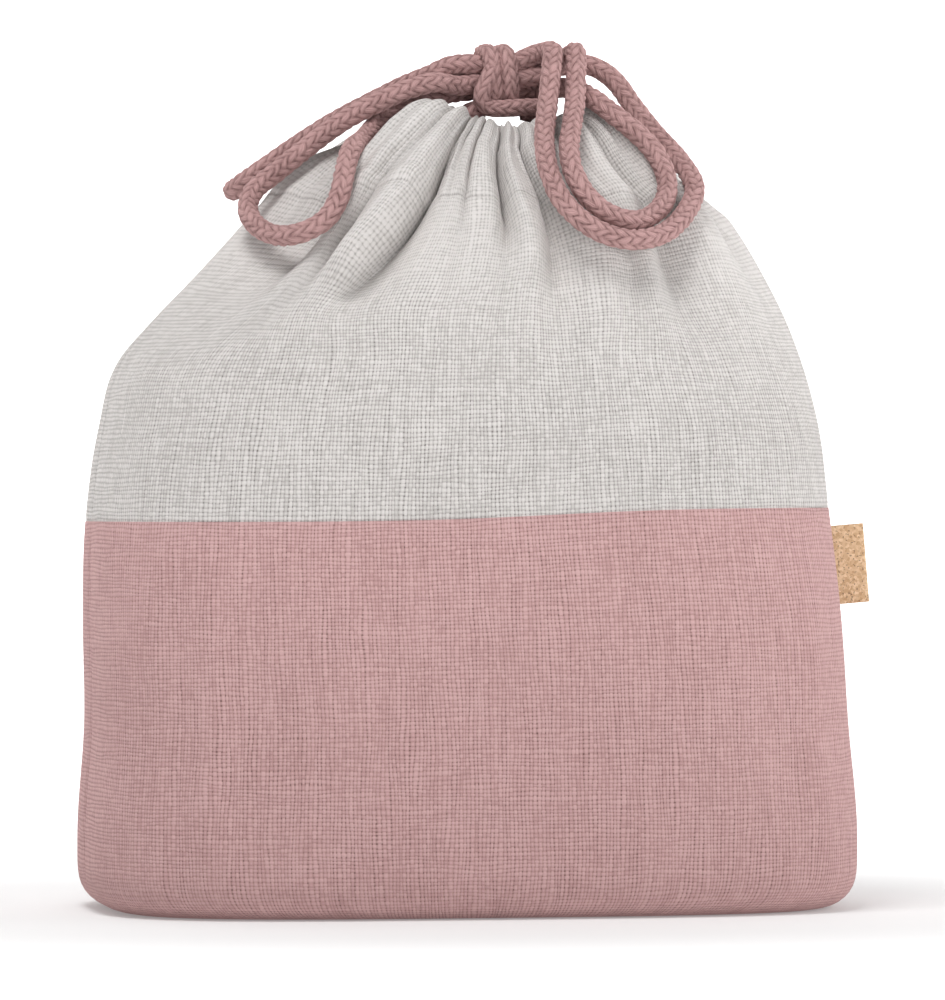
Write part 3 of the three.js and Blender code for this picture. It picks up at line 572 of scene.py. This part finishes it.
def cotton(name):
    """Braided cotton with painted shade: paler on the crowns of the plait, dark in its gaps and in the
    grooves between its yarns; each strand of four yarns of fine fibres."""
    made, surface = material(name, 0.92, 0.3, (0.6, 0.4, 0.39, 1))
    tree = made.node_tree
    plaited, spun = tree.nodes.new("ShaderNodeAttribute"), tree.nodes.new("ShaderNodeAttribute")
    plaited.attribute_name, spun.attribute_name = "plait", "yarn"
    height, yarn = Socket(tree, plaited.outputs["Fac"]), Socket(tree, spun.outputs["Fac"])
    place = height.node("ShaderNodeTexCoord", {}, output=3)
    fibre = height.node("ShaderNodeTexNoise", {"Vector": place, "Scale": 2600.0, "Detail": 2.0})
    patch = height.node("ShaderNodeTexNoise", {"Vector": place, "Scale": 160.0, "Detail": 1.0})
    line = (yarn * (8 * math.pi)).math("COSINE")
    # painted shade: darker from the crowns of the plait down into its gaps and in the grooves between its
    # yarns; the fibre and patch noise is the cord's own uneven tone
    shade = height * 0.9 - 0.09 * line + 0.3 * (fibre - 0.5) + 0.4 * (patch - 0.5)
    colour = shade.ramp(0.22, 0.85, "LINEAR").blend((0.18, 0.095, 0.09, 1), (0.48, 0.295, 0.285, 1))
    bump = height.node("ShaderNodeBump", {"Height": fibre - 0.35 * line, "Strength": 0.5, "Distance": 0.0003})
    tree.links.new(colour.output, surface.inputs["Base Color"])
    tree.links.new(bump.output, surface.inputs["Normal"])
    return made


COTTON = cotton("rose_cord")


def drawcord(sign, level):
    """Route of a drawcord: an ellipse round the leaning casing at a level across it, a little lower in front
    and behind, and at both ends in towards its two leads."""
    angle = (0 if sign > 0 else np.pi) + np.linspace(RING_OPEN, 2 * np.pi - RING_OPEN, 41)
    across, along = MOUTH_REACH[0] * np.cos(angle), MOUTH_REACH[1] * np.sin(angle)
    middle = MOUTH_MIDDLE + np.stack([across, along, RING_WAVE * np.cos(2 * angle) - RING_DROP], axis=1)
    outward = np.stack([np.cos(angle) / MOUTH_REACH[0], np.sin(angle) / MOUTH_REACH[1]], axis=1)
    outward /= np.linalg.norm(outward, axis=1, keepdims=True)
    band = np.column_stack([-math.sin(CASING_LEAN) * outward, np.full(len(angle), math.cos(CASING_LEAN))])
    turned_in = MOUTH_MIDDLE[0] + sign * (LEAD_FOOT[0] + STRAND + CORD_GAP / 2)
    height = LEAD_FOOT[1] + CORD + END_LEVEL * level
    near = np.sign(np.sin(angle[0])) * STRAND
    inner = np.array([[turned_in, near, height], [turned_in + END_REACH * sign, near, height + END_RISE]])
    outer = inner[::-1] * np.array([1, -1, 1])
    return np.concatenate([inner, middle + level * band, outer])


braided("left_drawcord", [drawcord(-1, STRAND)], CORD, "bag", step=0.45, sides=40)
braided("right_drawcord", [drawcord(1, -STRAND)], CORD, "bag", step=0.45, sides=40)

# Knot: four strands of the tied cords lie side by side, and one strand is wound round them: twice up and
# down in front, then slanting down to the left and along the bottom, to end behind the right loops.
KNOT_CORD = 4.4
KNOT_GAP = (KNOT_CORD + CORD_GAP) / 2
WRAP_REACH = 2 * KNOT_GAP + 0.1 + CORD_GAP + KNOT_CORD / 2
WRAP_TURNS, WRAP_PITCH, WRAP_FLATNESS = 0.8, 3.9, 0.8
WRAP_LEFT, WRAP_ABOVE = 0.4, 0.7
CORE_HALF = 5
# depth and height of each strand at its left and its right end, as offsets from the middle of the knot
CORE_ENDS = [
    ((-2.3, 3.2), (-2.3, 3.2)), ((-2.3, -0.8), (-2.3, -0.4)),
    ((2.3, 3.2), (2.3, 2.6)), ((2.3, -2.3), (2.3, -2.6)),
]
core_routes = [KNOT + np.linspace((-CORE_HALF, *left), (CORE_HALF, *right), 5) for left, right in CORE_ENDS]
knot_core = braided("knot_core", core_routes, KNOT_CORD, "bow")
# the wrap: a squarish coil of turns counted from its middle, a little left of the knot's middle and above it
wound = np.linspace(-WRAP_TURNS, WRAP_TURNS, 49)
wound_angle = 2 * np.pi * wound
wound_reach = WRAP_REACH / (np.cos(wound_angle) ** 4 + np.sin(wound_angle) ** 4) ** 0.25
wrap_route = KNOT + np.stack([
    WRAP_PITCH * wound - WRAP_LEFT,
    wound_reach * np.cos(wound_angle),
    WRAP_ABOVE + WRAP_FLATNESS * wound_reach * np.sin(wound_angle)], axis=1)
slant_route = KNOT + np.array([
    (-1.0, -5.2, 4.6), (-2.6, -7.6, 2.0), (-4.4, -8.4, -1.6), (-5.6, -8.0, -4.8), (-4.6, -7.6, -7.0),
    (-1.2, -7.9, -7.5), (3.2, -7.6, -7.2), (6.8, -6.4, -7), (9.4, -4.6, -6.9)])
knot_wrap = braided("knot_wrap", [wrap_route, slant_route], KNOT_CORD, "bow")

# Leads: on each side the two strands of a cord, one in front of the other, rise from the mouth and bend
# under the knot, each side's against its own turn of the wrap.
LEAD_TOP = KNOT[2] - WRAP_REACH
LEAD_BEND = 2


def lead(sign, bottom_turn, depth):
    """Route of a lead: a cubic curve with four guide points, straight up from the mouth and then level to the
    flank of the wrap."""
    flank = KNOT[0] + 2 * KNOT_GAP * bottom_turn + sign * (KNOT_CORD / 2 + 2 * CORD_GAP)
    foot = MOUTH_MIDDLE[0] + sign * LEAD_FOOT[0]
    first = np.array([foot, depth, LEAD_FOOT[1]])
    second = np.array([foot, depth, LEAD_TOP - LEAD_BEND])
    third = np.array([(foot + flank) / 2, depth, LEAD_TOP])
    last = np.array([flank, depth, LEAD_TOP])
    t = np.linspace(0, 1, 12)[:, None]
    return (1 - t) ** 3 * first + 3 * t * (1 - t) ** 2 * second + 3 * t * t * (1 - t) * third + t ** 3 * last


for side, sign, bottom_turn in (("left", -1, -0.25), ("right", 1, 0.75)):
    for end, depth in (("front", -STRAND), ("back", STRAND)):
        braided(f"{side}_lead_{end}", [lead(sign, bottom_turn, depth)], CORD, "bow")

# Bow loops: four limp loops of the same cords, as offsets from the middle of the knot. They leave its flanks
# and lie over the folds of the mouth, two on each side.
LOOPS = {
    "left_upper_loop": [
        (-1.5, -2.3, 3), (-5, -2.5, 3.4), (-7.5, -2.6, 3.6), (-11, -2.7, 3.4), (-14, -2.8, 2.5),
        (-17, -2.9, 0.9), (-23, -3.1, -1.5), (-31, -3.4, -5.5), (-41, -3.9, -10.8), (-50.5, -5.2, -16.8),
        (-57.5, -6.4, -21.6), (-62.6, -4.6, -25.2), (-65.2, 0.8, -27.4), (-64, 6.6, -27), (-60, 10, -24.8),
        (-54, 9.6, -20.6), (-47, 6.8, -15.4), (-41, 4.2, -11.5), (-31, 2.3, -6), (-23, 2.3, -1.8),
        (-17, 2.5, 0.7), (-14, 2.6, 2.3), (-11, 2.6, 3.3), (-7.5, 2.6, 3.6), (-5, 2.5, 3.4), (-1.5, 2.3, 3)],
    "left_lower_loop": [
        (-1.5, 2.3, -2.2), (-5, 2.5, -2.4), (-7.5, 2.6, -2.6), (-11, 2.7, -3.1), (-17, 2.2, -4.5),
        (-23, -0.2, -6.5), (-28.8, -3.3, -9.6), (-33, -9.2, -13.2), (-36.6, -16.6, -16.4),
        (-40.2, -24.5, -18.6), (-42.9, -31.3, -24.4), (-44.9, -35.1, -30.8), (-48.2, -36.5, -36),
        (-53.8, -35.5, -39.2), (-59, -30.5, -39.8), (-63, -23.5, -37.2), (-64.4, -17.5, -33),
        (-62.4, -13.2, -28.4), (-57, -11.2, -24), (-50, -10.4, -18.4), (-40.5, -9.6, -11.4),
        (-31, -9.2, -6.2), (-23, -8.6, -2.8), (-16.5, -7.7, -1.2), (-11, -4.3, -1.9), (-7.5, -2.9, -1.3),
        (-5, -2.5, -1), (-1.5, -2.3, -0.8)],
    "right_outer_loop": [
        (1.5, -2.3, 3), (4.5, -2.5, 4.2), (7, -2.9, 5.5), (9.4, -4, 6.4), (11.4, -6.8, 6.8),
        (11.7, -11, 6.2), (10.7, -15, 3.2), (9.5, -18.8, -1.8), (8, -23.2, -8), (5.8, -31, -16.2),
        (5.4, -39, -24.3), (8, -44.5, -32), (14.6, -47.5, -38.2), (23, -47, -40.8), (32.3, -42.7, -39.3),
        (39.8, -35.1, -33.6), (43.6, -26.7, -27), (41.2, -18.4, -19.8), (36.8, -10.6, -13),
        (32.6, -4.6, -6), (28.6, -0.4, 0.6), (23, 2, 4.1), (16, 2.7, 3.8), (9, 2.6, 3.4), (6.5, 2.5, 3.2),
        (4.5, 2.4, 3), (1.5, 2.3, 2.4)],
    "right_inner_loop": [
        (1.5, -2.3, -0.6), (4.5, -2.5, 0.2), (7.5, -2.7, 0.7), (10.4, -3, 1.4), (14.4, -3.6, 3.4),
        (16.9, -5.6, 5.8), (17.6, -9.2, 6.6), (17, -13.2, 3.6), (16.2, -17, -1), (15.2, -21.4, -6.2),
        (13.3, -27.5, -12), (11.2, -34.5, -18.2), (11, -40.5, -24.2), (13.4, -43.5, -29.8),
        (18.6, -44.3, -34.4), (25.6, -42.4, -36.2), (31.2, -38.3, -34.2), (35.2, -33.3, -30),
        (36.2, -28.5, -24.6), (34.2, -25, -18.8), (29.6, -23.2, -13.6), (24.8, -21, -9.4),
        (20.6, -16.5, -5.4), (17, -9, -2.6), (13.4, -1.4, -2), (10.2, 2.2, -2.6), (7.5, 2.5, -2.8),
        (4.5, 2.4, -2.8), (1.5, 2.3, -2.6)],
}
# each loop as a braided cord on its own side's body, and its centre line at millimetre steps, in metres
for name, offsets in LOOPS.items():
    route = KNOT + np.array(offsets)
    loop = braided(name, [route], CORD, name.split("_")[0] + "_loops")
    centre = smooth_path(route, 1.0) * MM

# Side tag: a strip of cork sheet folded double, both its ends pinched together and sewn into the right side
# seam, so that it stands out from the bag.
TAG_FOOT = np.array([88.62, 0.0, 83.0])
# lean of the side wall there, in radians
TAG_TURN = -0.0827
TAG_REACH, TAG_HEIGHT, TAG_SHEET = 12.6, 19.5, 0.62
TAG_START, TAG_BEND, TAG_HALF_GAP = 1.1, 0.4, 0.34
strip_run = np.linspace(0, 1, 61)
strip_turn = np.clip((strip_run - 0.46) / 0.08, 0, 1) * np.pi
strip_out = np.interp(strip_run, [0, 0.46, 0.54, 1], [0, 1, 1, 0])
strip_x = TAG_START + (TAG_REACH - TAG_START - TAG_BEND) * strip_out + TAG_BEND * np.sin(strip_turn)
strip_y = -TAG_HALF_GAP * np.cos(strip_turn) * np.clip(0.1 + 2.5 * strip_out, 0, 1)
strip_up = np.linspace(-TAG_HEIGHT / 2, TAG_HEIGHT / 2, 25)
flat_x, flat_z = np.meshgrid(strip_x, strip_up)
tag_grid = np.stack([
    TAG_FOOT[0] + flat_x * math.cos(TAG_TURN) + flat_z * math.sin(TAG_TURN),
    np.tile(strip_y, (len(strip_up), 1)),
    TAG_FOOT[2] - flat_x * math.sin(TAG_TURN) + flat_z * math.cos(TAG_TURN)], axis=2)


def cork(name):
    """Cork: pale brown grains of several sizes with dark specks between them."""
    made, surface = material(name, 0.85)
    tree = made.node_tree
    place = Socket(tree, tree.nodes.new("ShaderNodeTexCoord").outputs[3])
    grain = place.node("ShaderNodeTexVoronoi", {"Vector": place, "Scale": 1500.0}, output=1)
    tone = place.node("ShaderNodeSeparateXYZ", {0: grain})
    speck = place.node("ShaderNodeTexNoise", {"Vector": place, "Scale": 1500.0, "Detail": 2.0})
    body = tone.blend((0.54, 0.34, 0.19, 1), (0.80, 0.59, 0.39, 1))
    colour = (speck.ramp(0.58, 0.68, "LINEAR") * 0.8).blend(body, (0.12, 0.06, 0.035, 1))
    tree.links.new(colour.output, surface.inputs["Base Color"])
    return made


tag = piece("side_tag", tag_grid, cork("cork"))
tag_thick = tag.modifiers.new("sheet", "SOLIDIFY")
tag_thick.thickness = TAG_SHEET * MM
tag_thick.offset = 0
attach(tag, "tag")
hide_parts("side_tag")


# Floor and backdrop: a plain white table top with painted light, a glow that grows away from the bag so that
# the floor is darker near it, and a bright white wall behind it.
def backdrop(name, corners, grey, glow):
    """A flat stage piece with corners in metres; gives its material's tree and surface node."""
    mesh = bpy.data.meshes.new(name)
    mesh.from_pydata(corners, [], [(0, 1, 2, 3)])
    made = bpy.data.objects.new(name, mesh)
    bpy.context.collection.objects.link(made)
    paint, surface = material(name + "_white", 0.9)
    surface.inputs["Base Color"].default_value = (grey, grey, grey, 1)
    surface.inputs["Emission Color"].default_value = (1, 1, 1, 1)
    surface.inputs["Emission Strength"].default_value = glow
    mesh.materials.append(paint)
    return paint.node_tree, surface


floor_tree, floor_surface = backdrop("floor", [(-6, -3, 0), (6, -3, 0), (6, 2.5, 0), (-6, 2.5, 0)], 0.66, 1.0)
floor_place = Socket(floor_tree, floor_tree.nodes.new("ShaderNodeTexCoord").outputs[3])
floor_scale = {0: floor_place, 1: (10.5, 16.5, 0)}
floor_scaled = floor_place.node("ShaderNodeVectorMath", floor_scale, operation="MULTIPLY")
floor_away = floor_place.node("ShaderNodeVectorMath", {0: floor_scaled}, output=1, operation="LENGTH")
# painted light: the floor's glow rises from 0.2 near the bag to 0.8 away from it
glow_range = {"Value": floor_away, "From Min": 1.7, "From Max": 5, "To Min": 0.2, "To Max": 0.8}
floor_glow = floor_place.node("ShaderNodeMapRange", glow_range, interpolation_type="SMOOTHSTEP")
floor_tree.links.new(floor_glow.output, floor_surface.inputs["Emission Color"])
backdrop("wall", [(-6, 2.5, 0), (6, 2.5, 0), (6, 2.5, 4), (-6, 2.5, 4)], 0.85, 1.0)

# Light: a white room, a key light above and to the left, a wide one at the right side, and a low one in
# front.
world = bpy.data.worlds.new("studio")
bpy.context.scene.world = world
world.use_nodes = True
world.node_tree.nodes["Background"].inputs["Color"].default_value = (1, 1, 1, 1)
world.node_tree.nodes["Background"].inputs["Strength"].default_value = 0.25


def soft_light(name, place, aim, size, watts):
    """A square area light at a place, turned to an aim point, all in metres."""
    lamp = bpy.data.lights.new(name, "AREA")
    lamp.size, lamp.energy = size, watts
    made = bpy.data.objects.new(name, lamp)
    bpy.context.collection.objects.link(made)
    made.location = place
    from_aim = np.array(place) - np.array(aim)
    made.rotation_euler = (math.acos(from_aim[2] / np.linalg.norm(from_aim)), 0,
                           math.atan2(from_aim[1], from_aim[0]) + math.pi / 2)


soft_light("key", place=(-0.3, -0.4, 1.2), aim=(0, 0, 0.1), size=0.5, watts=9.6)
soft_light("side", place=(1.1, -0.1, 0.35), aim=(0, 0, 0.1), size=0.9, watts=6)
soft_light("fill", place=(0.2, -1.2, 0.12), aim=(0, 0, 0.04), size=0.7, watts=5.0)

# Camera: level with the middle of the bag, 1.6 m away, ten degrees to its left and a little aside.
CAMERA_TURN = math.radians(-10)
CAMERA_AWAY, CAMERA_ASIDE, CAMERA_HEIGHT = 1.6, 0.00245, 0.0995
FOCAL_LENGTH = 248.8
lens = bpy.data.cameras.new("camera")
lens.sensor_fit = "HORIZONTAL"
lens.lens = FOCAL_LENGTH
camera = bpy.data.objects.new("camera", lens)
bpy.context.collection.objects.link(camera)
camera.location = (CAMERA_AWAY * math.sin(CAMERA_TURN) + CAMERA_ASIDE * math.cos(CAMERA_TURN),
                   -CAMERA_AWAY * math.cos(CAMERA_TURN) + CAMERA_ASIDE * math.sin(CAMERA_TURN), CAMERA_HEIGHT)
camera.rotation_euler = (math.pi / 2, 0, CAMERA_TURN)
bpy.context.scene.camera = camera
bpy.context.scene.view_settings.view_transform = "Standard"
